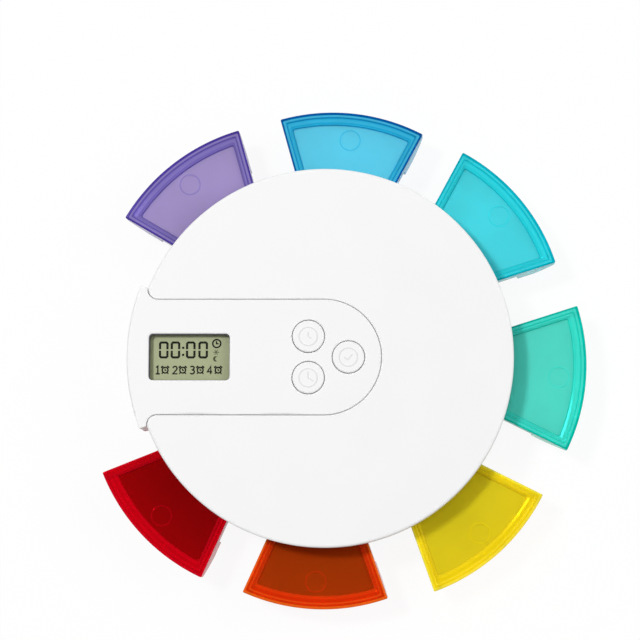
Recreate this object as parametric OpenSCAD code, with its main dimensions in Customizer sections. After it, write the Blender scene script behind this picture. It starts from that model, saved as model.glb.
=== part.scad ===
// Round seven-tray pill dispenser with a clock and alarm in its fixed eighth sector.
// Origin: hub axis on the table. +Z up, the clock sector points along -X. Millimetres.
// Every tray is drawn shut along +X, then turned to its bay and pulled out as photographed.

/* [Housing] */
// Radius of the shut dispenser, at the tray fronts
body_r = 65; // [64.5:0.5:68]
// How far the tray fronts stand out beyond the top cover
rim_step = 2.6; // [2.4:0.1:3.2]
// Height of the top face above the table
body_h = 29; // [27:0.5:33]
// Wall thickness of the white mouldings
wall = 1.6; // [1.4:0.1:1.8]
// Thickness of the top faces
top_t = 1.8; // [1.6:0.1:2]
// Thickness of the base floor
floor_t = 2; // [1.9:0.1:2.4]
// Thickness of the deck between the trays and the electronics
deck_t = 1.4; // [1.3:0.1:1.5]
// Radius of the rounded top edges
edge_r = 0.8; // [0.6:0.1:1.2]
// Radius of the flat part of the underside
flat_r = 50.5; // [50:0.5:52]
// Height above the table at which the upright fronts begin
front_z = 12; // [10:0.5:12.5]
// Radius, in section, of the curved underside
scoop_r = 21.5; // [20:0.5:26]
// Radius of the drum at the middle of the base
hub_r = 19.6; // [19.4:0.1:20]

/* [Tray ring] */
// Angle from one tray to the next, in degrees
tray_pitch = 44; // [43.6:0.1:44]
// Direction of the middle tray, in degrees from +X
ring_turn = -4.2; // [-4.2:0.1:-2]
// Gap between a tray and the edge of its bay
tray_gap = 0.35; // [0.3:0.05:0.6]
// Running gap under a tray
run_gap = 0.2; // [0.15:0.05:0.3]
// Gap between the tray rims and the deck above
head_gap = 0.7; // [0.5:0.1:1]
// Thickness of the low dividers between the bays
divider_t = 1; // [0.8:0.1:1.2]
// Height of the low dividers
divider_h = 8; // [6:0.5:9]
// Width of the guide rail in each bay
rail_w = 4; // [3:0.5:5]
// Height of the guide rail
rail_h = 1; // [0.8:0.1:1.1]

/* [Trays pulled out] */
// How far the violet tray is pulled out
pull_violet = 18.5; // [0:0.1:45]
// How far the blue tray is pulled out
pull_blue = 18.1; // [0:0.1:45]
// How far the cyan tray is pulled out
pull_cyan = 19.1; // [0:0.1:45]
// How far the teal tray is pulled out
pull_teal = 21.6; // [0:0.1:45]
// How far the yellow tray is pulled out
pull_yellow = 20.9; // [0:0.1:45]
// How far the orange tray is pulled out
pull_orange = 17.6; // [0:0.1:45]
// How far the red tray is pulled out
pull_red = 19.1; // [0:0.1:45]

/* [Trays and lids] */
// Width of a tray's side walls at the top
rim_w = 1.9; // [1.7:0.1:2.2]
// How much narrower the inner part of a tray is below its rim, each side
tray_waist = 0.8; // [0.75:0.05:0.9]
// Thickness of a tray's front and curved wall
front_t = 1.5; // [1.3:0.1:1.8]
// Thickness of a tray's flat floor
tray_floor_t = 2.2; // [2.1:0.1:2.6]
// Thickness of the lid's panel, and of the runners in the tray's grooves
lid_t = 1.1; // [1:0.1:1.2]
// Thickness of the lid's frame where it covers the tray's walls
lid_frame_t = 1.3; // [1.2:0.05:1.4]
// Height of the lid's frame above its panel
lid_border_h = 1.25; // [1.1:0.05:1.3]
// Width of the lower step of the frame, along its sides
lid_border_w = 1; // [0.8:0.1:1.4]
// Width of the lid's frame along its front
lid_lip_w = 4.3; // [4:0.1:5]
// Depth of the groove that holds the lid
groove_d = 0.8; // [0.7:0.05:0.9]
// Gap round the lid in its groove
lid_gap = 0.15; // [0.1:0.05:0.2]
// Radius of the round moulding mark in the lid
mark_ring_r = 3.5; // [3:0.1:4]

/* [Clock panel] */
// Height of the space for the clock's parts, above the deck
clock_h = 6.9; // [6.8:0.1:7.4]
// Half the width of the tongue-shaped panel
panel_half_w = 18.85; // [18.5:0.05:19]
// Gap between the panel and the cover
seam = 0.4; // [0.3:0.05:0.5]
// Radius of the cover's corners beside the panel
corner_r = 3.2; // [3:0.1:4]
// Half the angle of the clock sector, in degrees
block_half = 21.4; // [21:0.1:21.4]
// Distance from the front to the middle of the display
lcd_back = 20.7; // [20.4:0.1:21]
// Length of the display window
window_l = 26.7; // [25:0.1:27]
// Width of the display window
window_w = 15.3; // [14:0.1:15.6]
// Corner radius of the display window
window_r = 1.3; // [1:0.1:2]
// Diameter of the button caps
button_d = 10.5; // [9.5:0.1:10.6]
// Gap round each button cap
button_gap = 0.25; // [0.2:0.05:0.3]
// How far the caps stand above the panel
button_proud = 0.4; // [0.1:0.05:0.5]
// Radius of the rounded edge of a button cap
button_edge_r = 0.5; // [0.3:0.05:0.6]
// Travel of a button
button_travel = 0.8; // [0.5:0.1:0.8]

/* [Battery] */
// Diameter of the coin cell
cell_d = 20; // [19.6:0.1:20]
// Thickness of the coin cell
cell_t = 3.2; // [2.5:0.1:3.2]
// Distance from the front to the middle of the coin cell
cell_back = 24.5; // [24:0.1:24.5]
// Width of the battery door
door_w = 20.8; // [20.8:0.1:21]

/* [Hidden] */
$fn = 96;
fit = 0.05;
far = 200;

// The seven trays, from the clock panel's left side clockwise to its right side
TRAYS = 7;
PULL = [pull_violet, pull_blue, pull_cyan, pull_teal, pull_yellow, pull_orange, pull_red];
TRAY_COLOUR = ["mediumpurple", "deepskyblue", "turquoise", "mediumaquamarine",
               "gold", "orangered", "crimson"];
function tray_dir(i) = ring_turn + tray_pitch * ((TRAYS - 1) / 2 - i);
tray_half = tray_pitch / 2;

// Heights
floor_z = floor_t;
tray_z = floor_z + run_gap;
under_z = body_h - top_t;
deck_top = under_z - clock_h;
deck_z = deck_top - deck_t;
rim_z = deck_z - head_gap;
block_top = deck_z + 0.2;

// Radii
cover_r = body_r - rim_step;
deck_r = cover_r - wall - 0.2;
hub_gap = 1.4;
tray_in_r = hub_r + hub_gap;
slot_half = panel_half_w + seam;
lcd_x = body_r - lcd_back;
cell_x = body_r - cell_back;

// Centre of the curved underside, which runs from the flat part to the fronts
chord = [body_r - flat_r, front_z];
chord_len = norm(chord);
chord_rise = sqrt(pow(scoop_r, 2) - pow(chord_len / 2, 2));
scoop_c = [(body_r + flat_r) / 2 - chord[1] / chord_len * chord_rise,
           front_z / 2 + chord[0] / chord_len * chord_rise];

// Tray levels and insets from the edge of the bay
cavity_in = tray_gap + rim_w;
groove_in = cavity_in - groove_d;
lid_in = groove_in + lid_gap;
border_in = cavity_in + 0.2;
window_in = border_in + lid_border_w;
tray_end_t = 1.2;
lid_top = rim_z - 0.1;
panel_z = lid_top - lid_border_h - lid_t;
frame_z = lid_top - lid_frame_t;
wall_top = frame_z - lid_gap;
lip_t = 0.9;
groove_h = lid_t + 2 * lid_gap;
groove_z = wall_top - lip_t - groove_h;
runner_z = groove_z + lid_gap;
frame_step = 0.3;
waist_gap = 1;
waist_z = floor_z + divider_h + waist_gap;
waist_r = flat_r + 1.5 * waist_gap;
channel_gap = 0.3;
channel_w = rail_w + 2 * channel_gap;
channel_h = rail_h + channel_gap / 3;
channel_end = flat_r + 2.5 * waist_gap;
mark_back = 9;
mark_line = 0.3;
mark_at = body_r - mark_back;

// Electronics, hung from the panel's underside
flange_t = 0.8;
flange_z = under_z - 0.2 - flange_t;
flange_r = button_d / 2 + 0.85;
stem_h = 0.7;
dome_h = button_travel + 2.3;
dome_top = flange_z - stem_h - 0.1;
board_t = 1;
board_top = dome_top - dome_h;
board_z = board_top - board_t;
board_half_w = 11.5;
lens_t = 1;
lens_z = under_z - 0.1 - lens_t;
lens_margin = 1.3;
glass_margin = 1.7;
glass_t = 1.8;
glass = [window_l + 2 * glass_margin, window_w + 2 * glass_margin, glass_t];
glass_z = lens_z - 0.2 - glass_t;
holder_wall = 1.1;
holder_in_x = glass[0] / 2 + holder_wall - lcd_x;
boss_r = 2.5;
hub_screws = [[0.5, 15], [0.5, -15], [-16, 0]];
block_screw_back = 20;
block_screw_x = body_r - block_screw_back;
block_screw_y = board_half_w + boss_r + 0.2;
block_screws = [[-block_screw_x, block_screw_y], [-block_screw_x, -block_screw_y]];
board_front = body_r - 5;
board_end = panel_half_w - 5.85;
base_screw_at = concat(hub_screws, block_screws);
board_wing = [9, 31.6];
board_wing_x = 25.5;
board_wing_y = board_wing[1] / 2 - 2.3;
board_screw_at = [[-board_wing_x, board_wing_y], [-board_wing_x, -board_wing_y], [12, 9], [12, -9]];
cover_screw_dirs = [110, 55, 0, -55, -110];
cover_screw_r = 46;
screw_r = 1.3;
head_r = 2.4;
head_h = 1.8;
head_z = 1.4;
screw_top = under_z - 1.2;
hour_at = [-5, 6.8];
minute_at = [-5, -6.8];
set_at = [8.2, 0];
dome_r = 4.5;
chip_x = (holder_in_x + hour_at[0] - dome_r) / 2;
chip_r = 4;
chip_dome_r = 2 * chip_r;
chip_t = 1.2;
chip_y = -chip_r - 3.5;
crystal_r = 1;
crystal_l = 6;
crystal_y = 3.5;
chip_part = [1.6, 0.8, 0.6];
chip_part_step = [1.1, 1.3];
cell_z = floor_z + 0.02;
cell_top = cell_z + cell_t;
pocket_r = cell_d / 2 + 0.3;
strip_t = 0.26;
contact_w = 4;
contact_y = cell_d / 2 + 0.02;
buzzer_x = 5.5 - cell_x;
buzzer_r = 6;
deck_notch = [19, 22];
buzzer_h = 9;
door_t = floor_t - 0.2;
door_in_x = cell_x - cell_d / 2 - 0.2;
door_gap = 0.2;

WHITE = "whitesmoke";

// Wedge from the axis along +X, its sides moved in by inset, cut at radius r
module wedge(half, inset, r) {
    intersection() {
        circle(r);
        translate([inset / sin(half), 0])
            polygon([[0, 0], far * [cos(half), sin(half)], far * [cos(half), -sin(half)]]);
    }
}

// The same wedge outside radius r_in
module ring_wedge(half, inset, r_in, r_out) {
    difference() {
        wedge(half, inset, r_out);
        circle(r_in);
    }
}

// Slab of a flat shape from height z0 to z1
module slab(z0, z1) {
    translate([0, 0, z0]) linear_extrude(z1 - z0) children();
}

// Solid of revolution inside the curved underside, moved in by inset
module bowl(r_in, r_out, z0, z1, inset = 0) {
    rotate_extrude() difference() {
        translate([r_in, z0]) square([r_out - r_in, z1 - z0]);
        difference() {
            translate([scoop_c[0], -far]) square([far, scoop_c[1] + far]);
            translate(scoop_c) circle(scoop_r - inset);
        }
    }
}

// Round-edged disc that gives the top edges their radius
module edge_form(r) {
    rotate_extrude() {
        square([r - edge_r, body_h]);
        square([r, body_h - edge_r]);
        translate([r - edge_r, body_h - edge_r]) circle(edge_r);
    }
}

// Outline of the cover: a disc with a slot for the panel and rounded corners, all grown by grow
corner_c = [-sqrt(pow(cover_r - corner_r, 2) - pow(slot_half + corner_r, 2)), slot_half + corner_r];
module cover_outline(grow) {
    difference() {
        circle(cover_r + grow);
        circle(slot_half - grow);
        translate([-far, grow - slot_half]) square([far, 2 * (slot_half - grow)]);
        for (side = [-1, 1]) difference() {
            polygon([[corner_c[0], side * corner_c[1]], [corner_c[0], 0], [-far, 0],
                     far / cover_r * [corner_c[0], side * corner_c[1]]]);
            translate([corner_c[0], side * corner_c[1]]) circle(corner_r + grow);
        }
    }
}

// Outline of the clock panel: tongue and sector, with its edge moved in by inset
module panel_outline(inset) {
    difference() {
        union() {
            rotate(180) wedge(block_half, inset, body_r - inset);
            circle(panel_half_w - inset);
            translate([-flat_r, inset - panel_half_w]) square([flat_r, 2 * (panel_half_w - inset)]);
        }
        cover_outline(seam + inset);
    }
}

module rounded_rect(l, w, r) {
    square([l - 2 * r, w], center = true);
    square([l, w - 2 * r], center = true);
    for (x = [-1, 1], y = [-1, 1])
        translate([x * (l / 2 - r), y * (w / 2 - r)]) circle(r);
}

// Children at each of a list of places
module at_each(places) {
    for (p = places) translate([p[0], p[1], 0]) children();
}

module drum(r, z0, z1) {
    translate([0, 0, z0]) cylinder(r = r, h = z1 - z0);
}

module tube(r_out, r_in, z0, z1) {
    difference() {
        drum(r_out, z0, z1);
        drum(r_in, z0 - 1, z1 + 1);
    }
}

// Base: floor, drum, dividers, guide rails and the walls of the clock sector
pier_half = (180 - block_half - (tray_dir(0) + tray_half)) / 2;
pier_dir = 180 - block_half - pier_half;

module bay_guides() {
    for (i = [0:TRAYS - 1]) rotate(tray_dir(i)) {
        translate([tray_in_r + 3, -rail_w / 2, floor_z - 1])
            cube([flat_r - tray_in_r - 4.5, rail_w, rail_h + 1]);
        if (i > 0) rotate(tray_half) translate([hub_r - 1, -divider_t / 2, floor_z - 1])
            cube([flat_r - hub_r, divider_t, divider_h + 1]);
    }
}

module clock_well() {
    intersection() {
        bowl(hub_r, body_r - wall, floor_z, far, wall);
        slab(0, far) rotate(180) wedge(block_half, wall, far);
    }
}

module screw_boss() {
    drum(boss_r + 0.4, 0, deck_z);
    drum(head_r + 1.4, 0, head_z + head_h + 1.2);
}

module block_bosses() {
    intersection() {
        at_each(block_screws) screw_boss();
        slab(0, far) rotate(180) wedge(block_half, 0, deck_r);
    }
}

module cell_pocket() {
    translate([-cell_x, 0]) tube(pocket_r + wall, pocket_r, floor_z - 0.2, cell_top - 0.3);
    for (side = [-1, 1])
        translate([-cell_x - wall / 2, side * (pocket_r + 2.2) - 1.6, floor_z - 0.2])
            cube([wall, 3.2, cell_top - floor_z - 0.1]);
}

module base_solid() {
    drum(flat_r, 0, floor_z);
    tube(hub_r, hub_r - wall, floor_z - 1, deck_z);
    bay_guides();
    difference() {
        intersection() {
            bowl(hub_r - 1, body_r, 0, block_top);
            slab(0, far) rotate(180) wedge(block_half, 0, far);
        }
        clock_well();
        tube(body_r - wall, hub_r - 2, deck_z, far);
    }
    difference() {
        intersection() {
            bowl(hub_r - 1, deck_r, 0, deck_z);
            slab(0, far) rotate(pier_dir) wedge(pier_half + 0.5, 0.35, far);
        }
        slab(floor_z + 1.6, far) rotate(pier_dir) ring_wedge(pier_half, wall, 30, deck_r - 2);
        clock_well();
    }
    at_each(hub_screws) screw_boss();
    block_bosses();
    cell_pocket();
}

module door_space(gap) {
    translate([-far, -door_w / 2 - gap, -1])
        cube([far - door_in_x + gap, door_w + 2 * gap, door_t + gap + 1]);
    translate([-far, -door_w / 2 - 0.8 - gap, 0.6 - gap])
        cube([far - door_in_x + gap, door_w + 1.6 + 2 * gap, 0.7 + 2 * gap]);
}

module base_shell() {
    color(WHITE) difference() {
        base_solid();
        at_each(base_screw_at) {
            drum(screw_r + fit, -1, deck_z + 1);
            drum(head_r + 0.2, -1, head_z + head_h);
        }
        door_space(door_gap);
        translate([-cell_x, 0]) drum(pocket_r, 0, floor_z + 1);
        translate([-cell_x - contact_w / 2 - fit, 0, cell_z + 0.2])
            cube([contact_w + 2 * fit, contact_y + strip_t + fit, far - cell_z]);
        translate([-25.2, 0]) {
            drum(0.6, 0, floor_z + 1);
            for (a = [0:60:300]) rotate(a) translate([2.4, 0]) drum(0.6, 0, floor_z + 1);
        }
    }
}

module screw(z_head, head, shank_r, z_tip) {
    difference() {
        union() {
            drum(head, z_head, z_head + head_h);
            drum(shank_r, z_head + head_h - 0.1, z_tip);
        }
        for (a = [0, 90]) rotate(a)
            translate([-head * 0.6, -0.3, z_head - 0.1]) cube([head * 1.2, 0.6, 0.9]);
    }
}

module base_screws() {
    color("silver") at_each(base_screw_at) screw(head_z, head_r, screw_r, screw_top);
}

// Deck between the trays and the electronics
module mid_deck() {
    color(WHITE) difference() {
        drum(deck_r, deck_z, deck_top);
        at_each(base_screw_at) drum(screw_r + fit, 0, far);
        at_each(board_screw_at) drum(2, 0, far);
        for (a = cover_screw_dirs) rotate(a) translate([cover_screw_r, 0]) {
            drum(1 + fit, 0, far);
            drum(2.1, 0, deck_z + 0.8);
        }
        translate([buzzer_x - deck_notch[0] / 2, -deck_notch[1] / 2, 0])
            cube([deck_notch[0], deck_notch[1], far]);
    }
}

module cover_screws() {
    color("silver") for (a = cover_screw_dirs) rotate(a) translate([cover_screw_r, 0]) difference() {
        union() {
            drum(2, deck_z + 0.05, deck_z + 0.75);
            drum(1, deck_z + 0.6, under_z - 1.5);
        }
        translate([-1.4, -0.3, deck_z]) cube([2.8, 0.6, 0.4]);
    }
}

// Round white cover with its skirt, slot lips and screw bosses
module top_cover() {
    color(WHITE) difference() {
        union() {
            intersection() {
                edge_form(cover_r);
                slab(deck_top, far) cover_outline(0);
            }
            intersection() {
                slab(deck_z, deck_top + 0.1) cover_outline(0);
                tube(cover_r, deck_r + 0.2, 0, far);
            }
        }
        difference() {
            slab(deck_top - 1, under_z) cover_outline(-wall);
            for (a = cover_screw_dirs) rotate(a) translate([cover_screw_r, 0]) drum(boss_r, 0, far);
            difference() {
                drum(far, 0, deck_top);
                drum(deck_r + 0.2, -1, far);
            }
        }
        drum(deck_r + 0.2, 0, deck_top);
        for (a = cover_screw_dirs) rotate(a) translate([cover_screw_r, 0]) drum(1 + fit, 0, under_z - 1.2);
    }
}

// Tongue-shaped clock panel with the front of the clock sector
module button_holes() {
    at_each([hour_at, minute_at, set_at]) drum(button_d / 2 + button_gap, 0, far);
}

module control_panel() {
    color(WHITE) difference() {
        union() {
            difference() {
                intersection() {
                    edge_form(body_r);
                    slab(block_top + 0.15, far) panel_outline(0);
                }
                slab(0, under_z) panel_outline(wall * 0.75);
                drum(cover_r + seam, 0, deck_top + 0.1);
            }
            at_each(base_screw_at) drum(boss_r, deck_top + 0.1, under_z + 0.1);
            at_each(board_screw_at) drum(1.8, board_top, under_z + 0.1);
        }
        at_each(base_screw_at) drum(screw_r + fit, 0, under_z - 1);
        at_each(board_screw_at) drum(0.8 + fit, 0, under_z - 1.2);
        translate([-lcd_x, 0]) slab(0, far) rounded_rect(window_l, window_w, window_r);
        button_holes();
    }
}

module lcd_lens() {
    color("lightcyan", 0.5) translate([-lcd_x, 0])
        slab(lens_z, lens_z + lens_t)
            square([window_l + 2 * lens_margin, window_w + 2 * lens_margin], center = true);
}

module lcd_glass() {
    color("darkseagreen") translate([-lcd_x - glass[0] / 2, -glass[1] / 2, glass_z]) cube(glass);
}

module lcd_reflector() {
    color("gainsboro") translate([-lcd_x, 0])
        slab(glass_z - 0.3, glass_z) square([glass[0], glass[1] - 4.4], center = true);
}

module zebra_strips() {
    color("dimgray") for (side = [-1, 1])
        translate([-lcd_x - 12, side * (glass[1] / 2 - 1.1) - 0.8, board_top])
            cube([24, 1.6, glass_z - board_top]);
}

module lcd_holder() {
    color("ivory") translate([-lcd_x, 0]) slab(board_top, lens_z - 0.1) difference() {
        square([glass[0] + 2 * holder_wall, glass[1] + 3], center = true);
        square([glass[0] + 0.3, glass[1] + 0.3], center = true);
    }
}

// Circuit board and what it carries
module circuit_board() {
    color("seagreen") slab(board_z, board_top) difference() {
        union() {
            translate([-board_front, -board_half_w])
                square([board_front + board_end, 2 * board_half_w]);
            translate([-board_wing_x, 0]) square(board_wing, center = true);
        }
        translate(hub_screws[2]) circle(boss_r + 0.3);
        for (p = board_screw_at) translate(p) circle(0.8 + fit);
    }
}

module board_screws() {
    color("silver") at_each(board_screw_at) difference() {
        union() {
            drum(1.6, board_z - 0.85, board_z);
            drum(0.8, board_z - 0.1, under_z - 1.6);
        }
        translate([-1, -0.25, board_z - 0.9]) cube([2, 0.5, 0.4]);
    }
}

module chip_blob() {
    color("black") translate([chip_x, chip_y, board_top]) intersection() {
        drum(chip_r, 0, chip_t);
        translate([0, 0, chip_t - chip_dome_r]) sphere(chip_dome_r);
    }
}

module quartz_crystal() {
    color("silver") translate([chip_x, crystal_y, board_top + crystal_r]) rotate([-90, 0, 0])
        cylinder(r = crystal_r, h = crystal_l);
}

module chip_parts() {
    color("tan") for (sx = [-1, 1], sy = [-1, 1])
        translate([hour_at[0] + sx * chip_part_step[0] - chip_part[0] / 2,
                   sy * chip_part_step[1] - chip_part[1] / 2, board_top])
            cube(chip_part);
}

module buzzer() {
    color("black") translate([buzzer_x, 0]) difference() {
        drum(buzzer_r, board_z - buzzer_h, board_z);
        drum(1, board_z - buzzer_h - 1, board_z - buzzer_h + 2);
    }
}

// Buttons, each on a rubber dome
module button(at) {
    color(WHITE) translate([at[0], at[1], 0]) {
        drum(2.5, flange_z - stem_h, flange_z + 0.1);
        drum(flange_r, flange_z, flange_z + flange_t);
        rotate_extrude() {
            translate([0, flange_z + 0.1])
                square([button_d / 2 - button_edge_r, body_h + button_proud - flange_z - 0.1]);
            translate([0, flange_z + 0.1])
                square([button_d / 2, body_h + button_proud - flange_z - 0.1 - button_edge_r]);
            translate([button_d / 2 - button_edge_r, body_h + button_proud - button_edge_r])
                circle(button_edge_r);
        }
    }
}

module dome(at) {
    color("gray") translate([at[0], at[1], 0]) difference() {
        union() {
            drum(dome_r, board_top, board_top + 0.6);
            translate([0, 0, board_top + 0.6]) cylinder(r1 = 3.8, r2 = 2.4, h = dome_top - board_top - 0.6);
        }
        translate([0, 0, board_top - 0.1]) cylinder(r1 = 3.1, r2 = 1.8, h = dome_top - board_top - 0.8);
    }
}

module hour_button() button(hour_at);
module minute_button() button(minute_at);
module set_button() button(set_at);
module hour_dome() dome(hour_at);
module minute_dome() dome(minute_at);
module set_dome() dome(set_at);

// Battery, contacts and door
module coin_cell() {
    color("silver") translate([-cell_x, 0]) {
        drum(cell_d / 2, cell_z, cell_top - 0.4);
        drum(cell_d / 2 - 1.2, cell_top - 0.5, cell_top);
    }
}

module side_contact() {
    color("gold") translate([-cell_x - contact_w / 2, contact_y, cell_z + 0.3])
        cube([contact_w, strip_t, board_z - cell_z - 0.3]);
}

module top_contact() {
    foot_x = -cell_x + pocket_r + 3.7;
    color("gold") {
        translate([-cell_x - 3, -contact_w / 2, cell_top + fit])
            cube([foot_x + cell_x + 3, contact_w, strip_t]);
        translate([foot_x - strip_t, -contact_w / 2, cell_top + fit])
            cube([strip_t, contact_w, board_z - cell_top - fit]);
    }
}

module battery_door() {
    color(WHITE) difference() {
        intersection() {
            union() {
                translate([-far, -door_w / 2, 0]) cube([far - door_in_x, door_w, door_t]);
                translate([-far, -door_w / 2 - 0.8, 0.6]) cube([far - door_in_x, door_w + 1.6, 0.7]);
            }
            bowl(1, body_r, 0, door_t);
        }
        for (x = [0:4]) translate([-cell_x - 9 + 2 * x, -5, -0.1]) cube([0.9, 10, 0.5]);
    }
}

// One tray, shut, along +X
module tray_body() {
    difference() {
        intersection() {
            bowl(tray_in_r, body_r, tray_z, wall_top);
            slab(0, far) wedge(tray_half, tray_gap, far);
        }
        slab(0, waist_z) difference() {
            circle(waist_r);
            wedge(tray_half, tray_gap + tray_waist, far);
        }
        intersection() {
            bowl(tray_in_r + tray_end_t, body_r - front_t, tray_z + tray_floor_t, far, front_t);
            slab(0, groove_z + 0.1) wedge(tray_half, cavity_in, far);
        }
        slab(groove_z, groove_z + groove_h) ring_wedge(tray_half, groove_in, tray_in_r + 0.6, far);
        slab(groove_z, far) ring_wedge(tray_half, cavity_in, tray_in_r + tray_end_t, far);
        translate([0, -channel_w / 2, 0]) cube([channel_end, channel_w, tray_z + channel_h]);
    }
}

// One lid, shut, along +X: runners in the grooves, a frame over the walls and a thin panel
module lid_body() {
    window_r_in = tray_in_r + tray_end_t + 1.3;
    difference() {
        union() {
            slab(runner_z, runner_z + lid_t) ring_wedge(tray_half, lid_in, tray_in_r + 0.8, body_r);
            slab(runner_z, frame_z + 0.1)
                ring_wedge(tray_half, border_in, tray_in_r + tray_end_t + 0.3, body_r);
            slab(frame_z, lid_top) ring_wedge(tray_half, tray_gap, tray_in_r, body_r);
        }
        slab(0, panel_z) ring_wedge(tray_half, window_in, window_r_in, body_r - lid_lip_w);
        slab(panel_z + lid_t, far) ring_wedge(tray_half, window_in, window_r_in, body_r - lid_lip_w);
        slab(lid_top - frame_step, far)
            ring_wedge(tray_half, cavity_in, tray_in_r + tray_end_t, body_r - rim_w);
    }
    translate([mark_at, 0])
        tube(mark_ring_r, mark_ring_r - mark_line, panel_z + lid_t / 2, panel_z + lid_t + mark_line / 2);
}

module pulled(i) {
    rotate(tray_dir(i)) translate([PULL[i], 0, 0]) color(TRAY_COLOUR[i]) children();
}

module tray_violet() pulled(0) tray_body();
module tray_blue() pulled(1) tray_body();
module tray_cyan() pulled(2) tray_body();
module tray_teal() pulled(3) tray_body();
module tray_yellow() pulled(4) tray_body();
module tray_orange() pulled(5) tray_body();
module tray_red() pulled(6) tray_body();
module lid_violet() pulled(0) lid_body();
module lid_blue() pulled(1) lid_body();
module lid_cyan() pulled(2) lid_body();
module lid_teal() pulled(3) lid_body();
module lid_yellow() pulled(4) lid_body();
module lid_orange() pulled(5) lid_body();
module lid_red() pulled(6) lid_body();

base_shell();
base_screws();
mid_deck();
cover_screws();
top_cover();
control_panel();
lcd_lens();
lcd_glass();
lcd_reflector();
zebra_strips();
lcd_holder();
circuit_board();
board_screws();
chip_blob();
quartz_crystal();
chip_parts();
buzzer();
hour_button();
minute_button();
set_button();
hour_dome();
minute_dome();
set_dome();
coin_cell();
side_contact();
top_contact();
battery_door();
tray_violet();
tray_blue();
tray_cyan();
tray_teal();
tray_yellow();
tray_orange();
tray_red();
lid_violet();
lid_blue();
lid_cyan();
lid_teal();
lid_yellow();
lid_orange();
lid_red();
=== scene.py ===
import math

import bmesh
import bpy
from mathutils import Matrix, Vector
from mathutils.geometry import tessellate_polygon


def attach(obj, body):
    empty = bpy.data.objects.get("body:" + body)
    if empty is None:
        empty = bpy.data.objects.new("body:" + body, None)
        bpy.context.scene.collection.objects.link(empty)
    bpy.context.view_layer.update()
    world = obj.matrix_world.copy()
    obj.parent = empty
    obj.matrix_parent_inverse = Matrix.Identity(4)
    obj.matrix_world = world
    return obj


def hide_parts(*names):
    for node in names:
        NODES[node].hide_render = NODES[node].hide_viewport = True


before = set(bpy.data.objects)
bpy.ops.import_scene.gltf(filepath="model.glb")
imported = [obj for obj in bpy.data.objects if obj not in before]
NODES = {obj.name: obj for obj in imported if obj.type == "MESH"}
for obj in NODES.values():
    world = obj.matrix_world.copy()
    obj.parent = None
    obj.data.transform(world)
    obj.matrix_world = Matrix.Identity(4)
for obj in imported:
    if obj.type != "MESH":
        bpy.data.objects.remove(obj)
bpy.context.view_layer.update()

MM = 0.001
COLOURS = ["violet", "blue", "cyan", "teal", "yellow", "orange", "red"]

# Sizes of the real model, in millimetres
BODY_H = 29.0
BODY_R = 65.0
COVER_R = 62.4
COVER_WALL = 1.6
COVER_UNDER = 26.0
PANEL_WALL = 1.0
PANEL_T = 1.8
SLOT_HALF = 19.17
TONGUE_R = 18.93
CORNER_R = 3.2
# Radii of the rounded top edges: cover, front of the panel, and the seam between them
COVER_EDGE, PANEL_EDGE, FINE_EDGE = 0.7, 0.65, 0.22
# Rounded edge of the display window: its size and how far its middle ring is in
WINDOW_EDGE, WINDOW_MID = 0.3, 0.09
BLOCK_HALF = math.radians(21.4)
TRAY_HALF = math.radians(22)
TRAY_DIR = [127.8 - 44 * i for i in range(7)]
PULL = [18.5, 18.1, 19.1, 21.6, 20.9, 17.6, 19.1]
DECK_Z = 18.9
BLOCK_Z = 19.25
LCD_AT = (-44.3, 0.0)
WINDOW = (26.7, 15.3, 1.3)
GLASS_Z = 25.9
BUTTONS = {"hour": (-5.0, 6.8), "minute": (-5.0, -6.8), "set": (8.2, 0.0)}
CAP_Z = 29.4
HOLE_R = 5.42
HOLE_POINTS = 72
# Width of the flat strip that every top face has along its rounded edge
FLAT_STRIP = 0.25
# Lip under the seam: how far it reaches out, how deep it lies and where it ends
SEAM_LIP, SEAM_DEPTH, SEAM_END = 0.2, 0.5, 22.0


# Camera
# The lens looks almost straight down, leaning a little towards the lower right of the picture.
DISC_PX = 190.1
DISC_AT = (323.45, 357.0)
FRAME_PX = 640
TILT = math.radians(6)
TILT_DIR = math.radians(-60)
CAMERA_H = 0.9
SENSOR = 36
CLIP = (0.01, 20)


def make_camera():
    data = bpy.data.cameras.new("camera")
    cam = bpy.data.objects.new("camera", data)
    bpy.context.scene.collection.objects.link(cam)
    top = Vector((0, 0, BODY_H * MM))
    lean = math.tan(TILT) * CAMERA_H
    eye = top + Vector((lean * math.cos(TILT_DIR), lean * math.sin(TILT_DIR), CAMERA_H))
    ahead = (top - eye).normalized()
    right = (Vector((1, 0, 0)) - ahead * ahead.x).normalized()
    up = right.cross(ahead)
    per_px = COVER_R * MM / DISC_PX
    off_x = (DISC_AT[0] - FRAME_PX / 2) * per_px
    off_y = (DISC_AT[1] - FRAME_PX / 2) * per_px
    eye = eye - right * off_x + up * off_y
    cam.matrix_world = Matrix.Translation(eye) @ Matrix((right, up, -ahead)).transposed().to_4x4()
    dist = (top - eye).dot(ahead)
    data.sensor_width = SENSOR
    data.lens = data.sensor_width * dist / (per_px * FRAME_PX)
    data.clip_start, data.clip_end = CLIP
    bpy.context.scene.camera = cam


# Light and backdrop
# Each lamp's place and width in metres and its power in watts, all aimed at one point
LAMPS = {
    "key": ((-0.82, 0.5, 2.15), 0.36, 28.2),
    "fill": ((1.7, 0.5, 1.8), 1.8, 21.5),
}
LAMP_AIM = Vector((0, 0, 0.01))
WORLD_LIGHT = 0.4
WORLD_SHOWN = 1.0
# Floor: radius of its opening just inside the edge of the flat underside, outer radius in metres, and sides
REST_R = 50.2
FLOOR_R = 1.6
FLOOR_SIDES = 96
FLOOR_TONE = 0.95
# Share of even white in what the camera sees of the floor; the rest takes the shadows
FLOOR_GLOW = 0.92


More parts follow.
